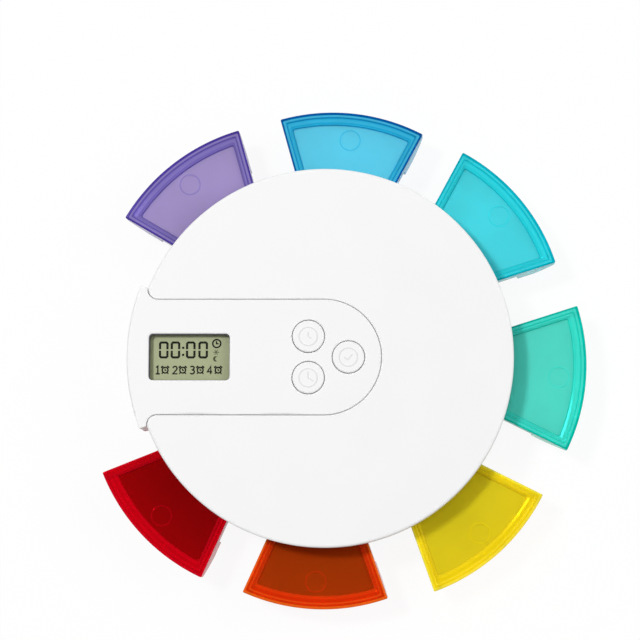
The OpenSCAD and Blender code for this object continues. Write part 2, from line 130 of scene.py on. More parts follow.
def area_light(name, at, size, power):
    data = bpy.data.lights.new(name, "AREA")
    data.shape = "DISK"
    data.size, data.energy = size, power
    lamp = bpy.data.objects.new(name, data)
    bpy.context.scene.collection.objects.link(lamp)
    lamp.location = at
    lamp.rotation_mode = "QUATERNION"
    lamp.rotation_quaternion = (LAMP_AIM - Vector(at)).to_track_quat("-Z", "Y")


def seen_straight(nodes, links):
    """1 for camera, mirror and glass rays, which show the backdrop bright."""
    path = nodes.new("ShaderNodeLightPath")
    first = nodes.new("ShaderNodeMath")
    second = nodes.new("ShaderNodeMath")
    first.operation = second.operation = "MAXIMUM"
    links.new(path.outputs["Is Camera Ray"], first.inputs[0])
    links.new(path.outputs["Is Glossy Ray"], first.inputs[1])
    links.new(first.outputs[0], second.inputs[0])
    links.new(path.outputs["Is Transmission Ray"], second.inputs[1])
    return second.outputs[0]


def make_world():
    world = bpy.data.worlds.new("studio")
    bpy.context.scene.world = world
    world.use_nodes = True
    nodes, links = world.node_tree.nodes, world.node_tree.links
    nodes.clear()
    out = nodes.new("ShaderNodeOutputWorld")
    light = nodes.new("ShaderNodeBackground")
    shown = nodes.new("ShaderNodeBackground")
    light.inputs["Strength"].default_value = WORLD_LIGHT
    shown.inputs["Strength"].default_value = WORLD_SHOWN
    mix = nodes.new("ShaderNodeMixShader")
    links.new(seen_straight(nodes, links), mix.inputs[0])
    links.new(light.outputs[0], mix.inputs[1])
    links.new(shown.outputs[0], mix.inputs[2])
    links.new(mix.outputs[0], out.inputs["Surface"])


def make_floor():
    bm = bmesh.new()
    # Open under the flat underside, which stays in view from below
    angles = [2 * math.pi * k / FLOOR_SIDES for k in range(FLOOR_SIDES)]
    near, far = [[bm.verts.new((r * math.cos(a), r * math.sin(a), 0)) for a in angles]
                 for r in (REST_R * MM, FLOOR_R)]
    for k in range(FLOOR_SIDES):
        j = (k + 1) % FLOOR_SIDES
        bm.faces.new((near[k], far[k], far[j], near[j]))
    mesh = bpy.data.meshes.new("floor")
    bm.to_mesh(mesh)
    bm.free()
    ob = bpy.data.objects.new("floor", mesh)
    bpy.context.scene.collection.objects.link(ob)
    mat = bpy.data.materials.new("floor_white")
    mat.use_nodes = True
    nodes, links = mat.node_tree.nodes, mat.node_tree.links
    nodes.clear()
    out = nodes.new("ShaderNodeOutputMaterial")
    card = nodes.new("ShaderNodeBsdfDiffuse")
    card.inputs["Color"].default_value = (FLOOR_TONE, FLOOR_TONE, FLOOR_TONE, 1)
    glow = nodes.new("ShaderNodeEmission")
    glow.inputs["Strength"].default_value = 1.0
    part = nodes.new("ShaderNodeMath")
    part.operation = "MULTIPLY"
    part.inputs[1].default_value = FLOOR_GLOW
    mix = nodes.new("ShaderNodeMixShader")
    links.new(seen_straight(nodes, links), part.inputs[0])
    links.new(part.outputs[0], mix.inputs[0])
    links.new(card.outputs[0], mix.inputs[1])
    links.new(glow.outputs[0], mix.inputs[2])
    links.new(mix.outputs[0], out.inputs["Surface"])
    mesh.materials.append(mat)


# Materials
def new_material(name):
    mat = bpy.data.materials.new(name)
    mat.use_nodes = True
    nodes, links = mat.node_tree.nodes, mat.node_tree.links
    return mat, nodes, links, nodes["Principled BSDF"]


def noise(nodes, links, scale, detail=3.0):
    where = nodes.new("ShaderNodeTexCoord")
    tex = nodes.new("ShaderNodeTexNoise")
    tex.inputs["Scale"].default_value = scale
    tex.inputs["Detail"].default_value = detail
    links.new(where.outputs["Object"], tex.inputs["Vector"])
    return tex.outputs["Fac"]


def ramp(nodes, links, value, low, high, start=0.3, end=0.7):
    node = nodes.new("ShaderNodeMapRange")
    node.inputs["From Min"].default_value = start
    node.inputs["From Max"].default_value = end
    node.inputs["To Min"].default_value = low
    node.inputs["To Max"].default_value = high
    links.new(value, node.inputs["Value"])
    return node.outputs["Result"]


def two_colours(nodes, links, value, first, second):
    node = nodes.new("ShaderNodeMix")
    node.data_type = "RGBA"
    links.new(value, node.inputs["Factor"])
    node.inputs[6].default_value = (*first, 1)
    node.inputs[7].default_value = (*second, 1)
    return node.outputs[2]


def add_bump(nodes, links, shader, height, strength, distance):
    bump = nodes.new("ShaderNodeBump")
    bump.inputs["Strength"].default_value = strength
    bump.inputs["Distance"].default_value = distance
    links.new(height, bump.inputs["Height"])
    links.new(bump.outputs["Normal"], shader.inputs["Normal"])


def moulded(name, colour, rough=0.38, spread=0.02, grain=1400, depth=0.00003, metal=0.0, blotch=60,
            shine=0.5):
    """Moulded plastic, rubber or plated metal: slight mottling, uneven gloss and a fine grain."""
    mat, nodes, links, shader = new_material(name)
    cloud = noise(nodes, links, blotch, 4)
    darker = tuple(c * (1 - spread) for c in colour)
    links.new(two_colours(nodes, links, ramp(nodes, links, cloud, 0, 1), darker, colour),
              shader.inputs["Base Color"])
    links.new(ramp(nodes, links, cloud, rough * 0.88, rough * 1.12), shader.inputs["Roughness"])
    shader.inputs["Metallic"].default_value = metal
    shader.inputs["Specular IOR Level"].default_value = shine
    add_bump(nodes, links, shader, noise(nodes, links, grain, 2), 0.35, depth)
    return mat


# See-through plastic: index, shine, clearness, and the share of lamp light that passes through it
PLASTIC_IOR = 1.45
PLASTIC_SHINE = 0.02
PLASTIC_CLEAR = 0.5
LIGHT_THROUGH = 0.75
TRAY_ROUGH = 0.2
LID_ROUGH = 0.12
CLOUDED = (0.93, 0.93, 0.93)


def tinted(name, tints, rough):
    """See-through coloured plastic, paler where it is thin, which lets lamp light through; on the lids its
    depth values also paint highlight and shade.
    """
    mat, nodes, links, shader = new_material(name)
    cloud = noise(nodes, links, 55, 4)
    attr = nodes.new("ShaderNodeAttribute")
    attr.attribute_name = "depth"
    scale = nodes.new("ShaderNodeValToRGB")
    stops = scale.color_ramp.elements
    stops.new(0.5)
    for stop, tint in zip(stops, tints):
        stop.color = (*tint, 1)
    links.new(attr.outputs["Fac"], scale.inputs["Fac"])
    cloudy = nodes.new("ShaderNodeMix")
    cloudy.data_type = "RGBA"
    cloudy.blend_type = "MULTIPLY"
    cloudy.inputs["Factor"].default_value = 1.0
    links.new(scale.outputs["Color"], cloudy.inputs[6])
    links.new(two_colours(nodes, links, ramp(nodes, links, cloud, 0, 1), (1, 1, 1), CLOUDED),
              cloudy.inputs[7])
    links.new(cloudy.outputs[2], shader.inputs["Base Color"])
    links.new(ramp(nodes, links, cloud, rough * 0.85, rough * 1.15), shader.inputs["Roughness"])
    shader.inputs["IOR"].default_value = PLASTIC_IOR
    shader.inputs["Specular IOR Level"].default_value = PLASTIC_SHINE
    shader.inputs["Specular Tint"].default_value = (*tints[1], 1)
    shader.inputs["Transmission Weight"].default_value = PLASTIC_CLEAR
    add_bump(nodes, links, shader, noise(nodes, links, 350, 2), 0.25, 0.00004)
    path = nodes.new("ShaderNodeLightPath")
    through = nodes.new("ShaderNodeBsdfTransparent")
    links.new(cloudy.outputs[2], through.inputs["Color"])
    part = nodes.new("ShaderNodeMath")
    part.operation = "MULTIPLY"
    part.inputs[1].default_value = LIGHT_THROUGH
    links.new(path.outputs["Is Shadow Ray"], part.inputs[0])
    blend = nodes.new("ShaderNodeMixShader")
    out = next(n for n in nodes if n.type == "OUTPUT_MATERIAL")
    links.new(part.outputs[0], blend.inputs[0])
    links.new(shader.outputs[0], blend.inputs[1])
    links.new(through.outputs[0], blend.inputs[2])
    links.new(blend.outputs[0], out.inputs["Surface"])
    return mat


def clear_sheet(name, colour, gloss):
    """Clear plastic sheet: mostly see-through, with a share of gloss."""
    mat, nodes, links, shader = new_material(name)
    cloud = noise(nodes, links, 40, 3)
    links.new(two_colours(nodes, links, ramp(nodes, links, cloud, 0, 1), colour,
                          tuple(c * 0.96 for c in colour)), shader.inputs["Base Color"])
    links.new(ramp(nodes, links, cloud, 0.05, 0.09), shader.inputs["Roughness"])
    add_bump(nodes, links, shader, noise(nodes, links, 200, 2), 0.1, 0.00001)
    through = nodes.new("ShaderNodeBsdfTransparent")
    blend = nodes.new("ShaderNodeMixShader")
    blend.inputs[0].default_value = gloss
    out = next(n for n in nodes if n.type == "OUTPUT_MATERIAL")
    links.new(through.outputs[0], blend.inputs[1])
    links.new(shader.outputs[0], blend.inputs[2])
    links.new(blend.outputs[0], out.inputs["Surface"])
    return mat


# Base colours of each moulding: thin panel, frame and walls, and the deepest edges, which on the lids' rims
# are partly painted shade
TINT = {
    "violet": ((0.540, 0.451, 0.720), (0.320, 0.255, 0.650), (0.105, 0.060, 0.400)),
    "blue": ((0.200, 0.760, 0.900), (0.040, 0.610, 0.850), (0.000, 0.105, 0.380)),
    "cyan": ((0.124, 0.800, 0.860), (0.045, 0.820, 0.880), (0.000, 0.510, 0.605)),
    "teal": ((0.159, 0.810, 0.720), (0.080, 0.880, 0.780), (0.000, 0.560, 0.480)),
    "yellow": ((0.817, 0.721, 0.026), (0.980, 0.811, 0.012), (0.960, 0.930, 0.090)),
    # The orange and red panel colours are darkened, partly painted shade near the cover and partly the
    # darker look of the pills inside
    "orange": ((0.500, 0.065, 0.004), (0.890, 0.052, 0.004), (0.930, 0.240, 0.020)),
    "red": ((0.420, 0.003, 0.004), (0.780, 0.002, 0.014), (0.800, 0.003, 0.024)),
}


# Mesh helpers
def piece(name, bm, mat, body, slot, *nodes, smooth=True):
    bmesh.ops.recalc_face_normals(bm, faces=bm.faces)
    mesh = bpy.data.meshes.new(name)
    bm.to_mesh(mesh)
    bm.free()
    mesh.materials.append(mat)
    for face in mesh.polygons:
        face.use_smooth = smooth
    ob = bpy.data.objects.new(name, mesh)
    bpy.context.scene.collection.objects.link(ob)
    if smooth:
        even = ob.modifiers.new("even", "WEIGHTED_NORMAL")
        even.keep_sharp = False
        even.weight = 100
    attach(ob, body)
    if nodes:
        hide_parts(*nodes)
    return ob


def ring(bm, points):
    return [bm.verts.new((x * MM, y * MM, z * MM)) for x, y, z in points]


def bridge(bm, one, two):
    n = len(one)
    for i in range(n):
        j = (i + 1) % n
        bm.faces.new((one[i], one[j], two[j], two[i]))


def loft(bm, rings):
    made = [ring(bm, r) for r in rings]
    for one, two in zip(made, made[1:]):
        bridge(bm, one, two)
    return made


def cap(bm, *loops):
    """A flat face with holes, from loops of vertices."""
    verts = [v for loop in loops for v in loop]
    for a, b, c in tessellate_polygon([[v.co for v in loop] for loop in loops]):
        bm.faces.new((verts[a], verts[b], verts[c]))


def circle(at, r, z, n):
    return [(at[0] + r * math.cos(2 * math.pi * i / n), at[1] + r * math.sin(2 * math.pi * i / n), z)
            for i in range(n)]


def inward(points):
    """Unit normals to the left of a closed path, which is its inside where it runs round to the left."""
    n = len(points)
    made = []
    for i in range(n):
        (ax, ay), (bx, by) = points[i - 1], points[(i + 1) % n]
        dx, dy = bx - ax, by - ay
        size = math.hypot(dx, dy)
        made.append((-dy / size, dx / size))
    return made


def arc(cx, cy, r, start, end, n):
    """Points on an arc, angles in radians, both ends included."""
    turns = [start + (end - start) * i / n for i in range(n + 1)]
    return [(cx + r * math.cos(turn), cy + r * math.sin(turn)) for turn in turns]


# Quarter round from the side (0, 0) to the top (1, 1)
ROUND = [(0.0, 0.0), (0.076, 0.383), (0.293, 0.707), (0.617, 0.924), (1.0, 1.0)]


# Cover and panel
# Places along X of the points on the straight sides of the slot and the tongue
STRAIGHT = (-12, -26, -40)
# Centre of the cover's round corner at the slot
CORNER_Y = SLOT_HALF + CORNER_R
CORNER_X = -math.sqrt((COVER_R - CORNER_R) ** 2 - CORNER_Y ** 2)


def cover_path():
    """Outline of the cover with, for each point, the radius of its top edge."""
    turn = math.atan2(CORNER_Y, CORNER_X)
    soft, fine = COVER_EDGE, FINE_EDGE
    path = [(p, soft) for p in arc(0, 0, COVER_R, -turn, turn, 220)]
    corner = arc(CORNER_X, CORNER_Y, CORNER_R, turn, 1.5 * math.pi, 16)[1:]
    # The wide edge narrows to the seam's in the first half of the corner
    narrowing = [(p, soft + (fine - soft) * min(1, 2 * (i + 1) / len(corner))) for i, p in enumerate(corner)]
    path += narrowing
    path += [((x, SLOT_HALF), fine) for x in reversed(STRAIGHT)]
    path += [(p, fine) for p in arc(0, 0, SLOT_HALF, math.pi / 2, -math.pi / 2, 72)]
    path += [((x, -SLOT_HALF), fine) for x in STRAIGHT]
    path += [((x, -y), r) for (x, y), r in reversed(narrowing)]
    return path


def inset_path(path, normals, part, z_of):
    """The path moved inwards by a part of each point's own radius, at a height that depends on it."""
    out = []
    for ((x, y), r), (nx, ny) in zip(path, normals):
        out.append((x + nx * r * part, y + ny * r * part, z_of(r)))
    return out


def edge_rings(path, normals, z_low, top):
    """Rings from the foot of an outer wall over its rounded top edge."""
    rings = [[(x, y, z_low) for (x, y), r in path]]
    for side, up in ROUND:
        rings.append(inset_path(path, normals, side, lambda r: top - r * (1 - up)))
    # A narrow flat strip keeps the shading of the top face even
    rings.append(inset_path([(p, r + FLAT_STRIP) for p, r in path], normals, 1, lambda r: top))
    return rings


def make_cover(mat):
    bm = bmesh.new()
    path = cover_path()
    normals = inward([p for p, r in path])
    made = loft(bm, edge_rings(path, normals, DECK_Z, BODY_H))
    cap(bm, made[-1])
    # Inner skin of the skirt, so that the wall has its thickness where a bay is open
    inner = [(p, COVER_WALL) for p, r in path]
    lower = ring(bm, inset_path(inner, normals, 1.0, lambda r: DECK_Z))
    under = ring(bm, inset_path(inner, normals, 1.0, lambda r: COVER_UNDER))
    bridge(bm, made[0], lower)
    bridge(bm, lower, under)
    cap(bm, under)
    return piece("cover_skin", bm, mat, "housing", "housing_white", "top_cover")


# Narrow tip of the panel beside the cover: radius, turn from the block's edge in radians, top edge's radius
TIP = (
    (COVER_R + 0.15, 0.0025, 0.15), (COVER_R + 0.45, 0, 0.15), (BODY_R - 0.4, 0, 0.15),
    (BODY_R - 0.1, 0.0015, 0.15), (BODY_R, 0.006, 0.2),
)


def panel_path():
    """Half of the tongue, the curve round the cover's corner, the tip and the front, then all mirrored."""
    fine, soft, grow = FINE_EDGE, PANEL_EDGE, SLOT_HALF - TONGUE_R
    edge = math.pi - BLOCK_HALF
    upper = [(p, fine) for p in arc(0, 0, TONGUE_R, 0, math.pi / 2, 36)]
    upper += [((x, TONGUE_R), fine) for x in STRAIGHT]
    upper += [(p, fine) for p in arc(CORNER_X, CORNER_Y, CORNER_R + grow, 1.5 * math.pi, math.pi, 16)]
    upper += [((r * math.cos(edge + turn), r * math.sin(edge + turn)), size) for r, turn, size in TIP]
    front = arc(0, 0, BODY_R, edge + 0.02, math.pi, 44)
    upper += [(p, fine + (soft - fine) * min(1.0, k / 8)) for k, p in enumerate(front)]
    lower = [((x, -y), r) for (x, y), r in reversed(upper[1:-1])]
    return upper + lower


def window_outline(grow, z):
    """Rounded outline of the display window, made larger all round."""
    length, width, r = WINDOW
    points = []
    for k, (sx, sy) in enumerate(((1, 1), (-1, 1), (-1, -1), (1, -1))):
        cx, cy = LCD_AT[0] + sx * (length / 2 - r), LCD_AT[1] + sy * (width / 2 - r)
        start = k * math.pi / 2
        points += arc(cx, cy, r + grow, start, start + math.pi / 2, 8)
    return [(x, y, z) for x, y in points]


def make_window_lining_and_shade(mat):
    """Thin dark lining of the display window, standing on the clear lens; partly painted shade, wider at the
    left and top where the window's edge casts its shadow.
    """
    bm = bmesh.new()
    low, high, thick, shift = BODY_H - 1.88, BODY_H - 0.45, 0.24, 0.13
    # Growth, height and sideways shift of each edge of its section; the shift widens it at the left and top
    # as painted shade
    section = ((0.02, low, 0), (0.02, high, 0), (0.07 - thick, high, shift), (-thick, high - 0.07, shift),
               (-thick, low, shift))
    rings = [ring(bm, [(x + move, y - move, z) for x, y, z in window_outline(grow, z)])
             for grow, z, move in section]
    for a, b in zip(rings, rings[1:] + rings[:1]):
        bridge(bm, a, b)
    piece("window_lining_and_shade", bm, mat, "housing", "zebra_rubber")


def make_panel(mat):
    bm = bmesh.new()
    path = panel_path()
    normals = inward([p for p, r in path])
    rings = edge_rings(path, normals, BLOCK_Z, BODY_H)
    # Lip of the panel that closes the seam from below
    lip = [(p, SEAM_LIP if abs(p[1]) < SEAM_END and math.hypot(*p) < COVER_R - 1 else 0) for p, r in path]
    lip_top = BODY_H - SEAM_DEPTH
    panel_under = BODY_H - PANEL_T
    foot = [inset_path(lip, normals, -1, lambda r: BLOCK_Z), inset_path(lip, normals, -1, lambda r: lip_top),
            inset_path(path, normals, 0, lambda r: lip_top)]
    made = loft(bm, foot + rings[1:])
    holes = []
    for at in BUTTONS.values():
        rings = [circle(at, HOLE_R + FINE_EDGE + FLAT_STRIP, BODY_H, HOLE_POINTS)]
        for side, up in ((0, 1), (0.293, 0.707), (1, 0)):
            z = BODY_H - FINE_EDGE * (1 - up)
            rings.append(circle(at, HOLE_R + FINE_EDGE * (1 - side), z, HOLE_POINTS))
        rings.append(circle(at, HOLE_R, panel_under, HOLE_POINTS))
        holes.append(loft(bm, rings))
    rings = [window_outline(WINDOW_EDGE + FLAT_STRIP, BODY_H), window_outline(WINDOW_EDGE, BODY_H),
             window_outline(WINDOW_MID, BODY_H - WINDOW_MID), window_outline(0, BODY_H - WINDOW_EDGE),
             window_outline(0, panel_under)]
    holes.append(loft(bm, rings))
    cap(bm, made[-1], *[h[0] for h in holes])
    # Underside of the top face and inner skin of the front
    inner = [(p, PANEL_WALL) for p, r in path]
    lower = ring(bm, inset_path(inner, normals, 1.0, lambda r: BLOCK_Z))
    under = ring(bm, inset_path(inner, normals, 1.0, lambda r: panel_under))
    bridge(bm, made[0], lower)
    bridge(bm, lower, under)
    cap(bm, under, *[h[-1] for h in holes])
    return piece("panel_skin", bm, mat, "housing", "panel_white", "control_panel")


# Trays and lids
# Radii of the points along a wedge's long side, outside and inside the start of its waist
SIDE_MAX = 58.0
SIDE_OUTER = (55, 52.05)
SIDE_INNER = (51.95, 46, 36)


def sector(inset, r_in, r_out, round_out, round_in, waist=None):
    """Rounded outline of a wedge along +X; waist is a second inset inside radius 52."""
    h = TRAY_HALF

    def corner(r, rc, sign, inner_inset):
        """Centre of a rounded corner, and its direction."""
        off = inner_inset + rc
        s = math.sqrt((r - sign * rc) ** 2 - off ** 2)
        c = (s * math.cos(h) + off * math.sin(h), s * math.sin(h) - off * math.cos(h))
        return c, math.atan2(c[1], c[0])

    c_out, phi_out = corner(r_out, round_out, 1, inset)
    low_inset = inset if waist is None else waist
    c_in, phi_in = corner(r_in, round_in, -1, low_inset)

    def on_side(r, d):
        """Point at a radius on the long side that is moved in by d."""
        s = math.sqrt(r * r - d * d)
        return (s * math.cos(h) + d * math.sin(h), s * math.sin(h) - d * math.cos(h))

    half = arc(0, 0, r_out, 0, phi_out, 20)
    half += arc(c_out[0], c_out[1], round_out, phi_out, h + math.pi / 2, 5)[1:]
    half += [on_side(r, inset) for r in (min(r_out - 1.4, SIDE_MAX), *SIDE_OUTER)]
    half += [on_side(r, low_inset) for r in SIDE_INNER]
    half += arc(c_in[0], c_in[1], round_in, h + math.pi / 2, phi_in + math.pi, 4)
    half += arc(0, 0, r_in, phi_in, 0, 8)[1:]
    other = [(x, -y) for x, y in reversed(half[1:-1])]
    return half + other


def side_distance(x, y):
    """How far a point is in from the nearer long edge of the wedge."""
    return abs(x) * math.sin(TRAY_HALF) - abs(y) * math.cos(TRAY_HALF)


# Curve of a tray's front, seen from the side: radius and centre of its arc, and the height where it ends
SCOOP_R, SCOOP_X, SCOOP_Z, SCOOP_TOP = 21.5, 45.42, 20.89, 12


def scoop(z, inset=0.0):
    """Radius of a tray's front at a height, on its outside or moved in by a wall."""
    if z >= SCOOP_TOP and inset == 0:
        return BODY_R
    reach = math.sqrt(max(0.0, (SCOOP_R - inset) ** 2 - (z - SCOOP_Z) ** 2))
    return min(BODY_R - inset, SCOOP_X + reach)


def placed(points, i):
    """Points of a shut tray along +X, pulled out and turned to bay i."""
    a = math.radians(TRAY_DIR[i])
    out = []
    for x, y, z in points:
        x += PULL[i]
        out.append((x * math.cos(a) - y * math.sin(a), x * math.sin(a) + y * math.cos(a), z))
    return out


def set_depth_and_painted_light(ob, deep_of):
    """Writes how deep the coloured plastic is at each point, 0 in the thin panel and 1 in the rim; on the
    lid's frame the values also hold a painted highlight band and painted shade lines.
    """
    attr = ob.data.attributes.new("depth", "FLOAT", "POINT")
    attr.data.foreach_set("value", deep_of)


# Groove under a tray for the guide rail: half its width, its roof, its front end, the slope of its sides
GROOVE_HALF, GROOVE_ROOF, GROOVE_END, GROOVE_SLOPE = 2.3, 3.3, 50.6, 0.08
# Heights of a tray's lowest two rings, and heights just above them
TRAY_Z, TURN_Z = 2.2, 2.5
ABOVE_FLAT, ABOVE_TURN = 2.3, 2.6
# At the inner end the second ring makes way too: how far out, how much wider and higher than the groove
NOTCH_R, NOTCH_WIDER, NOTCH_HIGHER = 22, 1.7, 0.05


def cut_groove(bm, i):
    """Cuts the guide rail's groove into a tray's flat underside, open at the inner end."""
    c, s = math.cos(math.radians(TRAY_DIR[i])), math.sin(math.radians(TRAY_DIR[i]))
    half, end, slope = GROOVE_HALF, GROOVE_END, GROOVE_SLOPE
    cuts = [(0, side * wide, 0, 1) for side in (-1, 1) for wide in (half, half + slope)]
    cuts += [(end, 0, 1, 0), (end + slope, 0, 1, 0)]
    for x, y, nx, ny in cuts:
        faces = [f for f in bm.faces if max(v.co.z for v in f.verts) < ABOVE_FLAT * MM]
        edges = list(dict.fromkeys(e for f in faces for e in f.edges))
        verts = list(dict.fromkeys(v for f in faces for v in f.verts))
        x += PULL[i]
        bmesh.ops.bisect_plane(bm, geom=faces + edges + verts, dist=1e-8,
                               plane_co=((x * c - y * s) * MM, (x * s + y * c) * MM, 0),
                               plane_no=(nx * c - ny * s, nx * s + ny * c, 0))
    for v in bm.verts:
        if v.co.z > ABOVE_TURN * MM:
            continue
        x, y = v.co.x * c + v.co.y * s - PULL[i] * MM, abs(v.co.y * c - v.co.x * s)
        if v.co.z < ABOVE_FLAT * MM:
            if y < (half + slope / 2) * MM and x < (end + slope / 2) * MM:
                v.co.z = GROOVE_ROOF * MM
        elif x < NOTCH_R * MM and y < (half + NOTCH_WIDER) * MM:
            v.co.z = (GROOVE_ROOF + NOTCH_HIGHER) * MM


# Tray: inset of its long sides and of their waist, radius of its inner end, tops of sides and front
SIDE_INSET, WAIST_INSET, TRAY_IN_R = 0.35, 1.15, 21.0
TRAY_TOP, FRONT_TOP = 16.65, 14.35
# How far in the rim of the sides reaches, and the radius where the lower front starts
RIM_REACH, FRONT_FROM = 2.3, 60
# Heights of the rings up the outer wall, with the waist and above it, and down the inner wall
WAIST_Z = (3.5, 4.6, 6.0, 7.6, 9.2, 10.95)
UPPER_Z = (11.0, 12.0)
CAVITY_Z = (12.0, 9.0, 7.0, 5.4)
# Inside of a tray: inset, radius of its inner end, height of its floor, thickness of the front
CAVITY_INSET, CAVITY_IN_R, CAVITY_FLOOR, FRONT_T = 2.25, 22.2, 4.4, 1.5
# Over the rim and down the lid's groove: inset, inner and outer radius, height of the sides and of the front
RIM = (
    (SIDE_INSET, TRAY_IN_R, BODY_R, TRAY_TOP - 0.15, FRONT_TOP - 0.15),
    (0.39, 21.05, 64.95, TRAY_TOP - 0.04, FRONT_TOP - 0.04),
    (0.5, 21.15, 64.85, TRAY_TOP, FRONT_TOP),
    (2.1, 22.05, 63.65, TRAY_TOP, FRONT_TOP),
    (CAVITY_INSET, CAVITY_IN_R, 63.5, TRAY_TOP - 0.1, FRONT_TOP - 0.1),
    (CAVITY_INSET, CAVITY_IN_R, 63.5, 15.8, FRONT_TOP - 0.15),
    (1.45, 21.9, 63.5, 15.75, FRONT_TOP - 0.2),
    (1.45, 21.9, 63.5, 14.35, FRONT_TOP - 0.25),
    (CAVITY_INSET, CAVITY_IN_R, 63.5, 14.05, 14.05),
)
# Depth of colour of the floor and the underside, and of the walls
FLOOR_DEPTH, WALL_DEPTH = 0.15, 0.5


def make_tray(i, colour, mat):
    bm = bmesh.new()

    def wall(inset, r_in, r_out, z_side, z_front, waist=None, ro=0.5, ri=0.8):
        """The front wall is lower than the sides, because the lid's own front fills it."""
        points = []
        for x, y in sector(inset, r_in, r_out, ro, ri, waist):
            high = side_distance(x, y) < RIM_REACH or x * x + y * y < FRONT_FROM ** 2
            points.append((x, y, z_side if high else z_front))
        return points

    rings = [wall(1.45, 21.3, scoop(TRAY_Z) - 0.3, TRAY_Z, TRAY_Z),
             wall(WAIST_INSET, TRAY_IN_R, scoop(TURN_Z), TURN_Z, TURN_Z)]
    rings += [wall(SIDE_INSET, TRAY_IN_R, scoop(z), z, z, WAIST_INSET) for z in WAIST_Z]
    rings += [wall(SIDE_INSET, TRAY_IN_R, scoop(z), z, z) for z in UPPER_Z]
    rings += [wall(*row) for row in RIM]
    rings += [wall(CAVITY_INSET, CAVITY_IN_R, scoop(z, FRONT_T), z, z, ro=1.2, ri=1.0) for z in CAVITY_Z]
    z = CAVITY_FLOOR
    rings.append(wall(2.9, 22.8, scoop(z, FRONT_T) - 0.4, z, z, ro=1.2, ri=1.0))
    made = loft(bm, [placed(r, i) for r in rings])
    cap(bm, made[0])
    cap(bm, made[-1])
    deep = []
    for k, r in enumerate(made):
        deep += [FLOOR_DEPTH if k in (0, 1, len(made) - 1) else WALL_DEPTH] * len(r)
    cut_groove(bm, i)
    deep += [FLOOR_DEPTH] * (len(bm.verts) - len(deep))
    ob = piece("tray_skin_" + colour, bm, mat, colour + "_tray", colour + "_tray", "tray_" + colour)
    set_depth_and_painted_light(ob, deep)
    return ob


# Lid: its top, foot of its runners, underside of its panel, and where its frame sits on the tray
LID_TOP, LID_FOOT, LID_UNDER, LID_SEAT = 18.1, 14.5, 15.75, 16.8
# Up the lid from its panel's underside: inset, inner and outer radius, height, depth of colour
RUNNERS = [
    (3.45, 23.50, 60.70, LID_UNDER, 0.0), (3.45, 23.50, 60.70, LID_FOOT, 0.5),
    (1.70, 21.90, 64.95, LID_FOOT, 0.5), (1.60, 21.80, 65.00, LID_FOOT + 0.08, 0.6),
    (1.60, 21.80, 65.00, 15.55, 0.6), (1.68, 21.85, 65.00, 15.6, 0.5), (2.45, 22.50, 65.00, 15.65, 0.5),
    (2.45, 22.50, 65.00, LID_SEAT - 0.02, 0.5), (0.45, 21.10, 65.00, LID_SEAT, 0.7),
]
# Across the lid's frame, from its edge to the panel: inset, inner and outer radius, height, depth of colour,
# which also paints highlight and shade
FRAME = [
    # The darkest rows at the rim stand partly for thicker plastic and partly for painted shade along the
    # edge
    (0.35, 21.00, 65.00, -1.15, 1.0), (0.35, 21.00, 65.00, -0.35, 1.0), (0.38, 21.03, 64.97, -0.18, 1.0),
    (0.46, 21.10, 64.89, -0.06, 1.0), (0.70, 21.22, 64.60, 0.0, 1.0), (0.95, 21.34, 64.15, 0.0, 0.95),
    # Painted highlight in the paler rows at insets 1.06 to 1.60; painted shade in the darker rows at the
    # step, 1.88 to 2.08
    (1.06, 21.40, 64.02, 0.0, 0.32), (1.32, 21.52, 63.84, 0.0, 0.2),
    (1.60, 21.70, 63.60, 0.0, 0.36), (1.75, 21.80, 63.45, 0.0, 0.5), (1.88, 21.90, 63.30, -0.05, 0.7),
    (1.98, 22.00, 63.20, -0.20, 0.85), (2.08, 22.08, 63.10, -0.30, 0.7),
    (2.30, 22.20, 62.60, -0.30, 0.42), (2.42, 22.30, 62.42, -0.24, 0.4), (2.56, 22.40, 62.15, -0.14, 0.4),
    (2.70, 22.50, 61.90, -0.10, 0.36), (2.84, 22.60, 61.65, -0.14, 0.5), (2.98, 22.75, 61.35, -0.26, 0.6),
    (3.12, 22.90, 61.05, -0.30, 0.5), (3.28, 23.10, 60.88, -0.34, 0.6), (3.38, 23.30, 60.78, -0.50, 0.8),
    (3.42, 23.40, 60.74, -0.95, 0.7), (3.47, 23.46, 60.68, -1.18, 0.35), (3.60, 23.60, 60.52, -1.25, 0.0),
]
# Height of the thin panel's top below the frame's
PANEL_DROP = 1.25
# Round moulding mark in the panel: place along X, points, and each ring's radius, height and depth of colour
MARK_X = 56
MARK_POINTS = 48
MARK = ((3.62, 0.0, 0.0), (3.5, 0.1, 0.25), (3.35, 0.15, 0.35), (3.2, 0.1, 0.25), (3.08, 0.0, 0.0))


def make_lid(i, colour, mat):
    bm = bmesh.new()
    rows = RUNNERS + [(inset, r_in, r_out, LID_TOP + up, dark) for inset, r_in, r_out, up, dark in FRAME]
    made, deep = [], []
    for inset, r_in, r_out, z, dark in rows:
        round_out = 0.45 if r_out > 62 else 0.6
        pts = sector(inset, r_in, r_out, round_out, 0.5)
        made.append(ring(bm, placed([(x, y, z) for x, y in pts], i)))
        deep += [dark] * len(pts)
    for one, two in zip(made, made[1:]):
        bridge(bm, one, two)
    z = LID_TOP - PANEL_DROP
    mark = loft(bm, [placed(circle((MARK_X, 0), r, z + up, MARK_POINTS), i) for r, up, dark in MARK])
    for r, up, dark in MARK:
        deep += [dark] * MARK_POINTS
    cap(bm, made[0])
    cap(bm, made[-1], mark[0])
    cap(bm, mark[-1])
    ob = piece("lid_skin_" + colour, bm, mat, colour + "_lid", colour + "_lid", "lid_" + colour)
    set_depth_and_painted_light(ob, deep)
    return ob


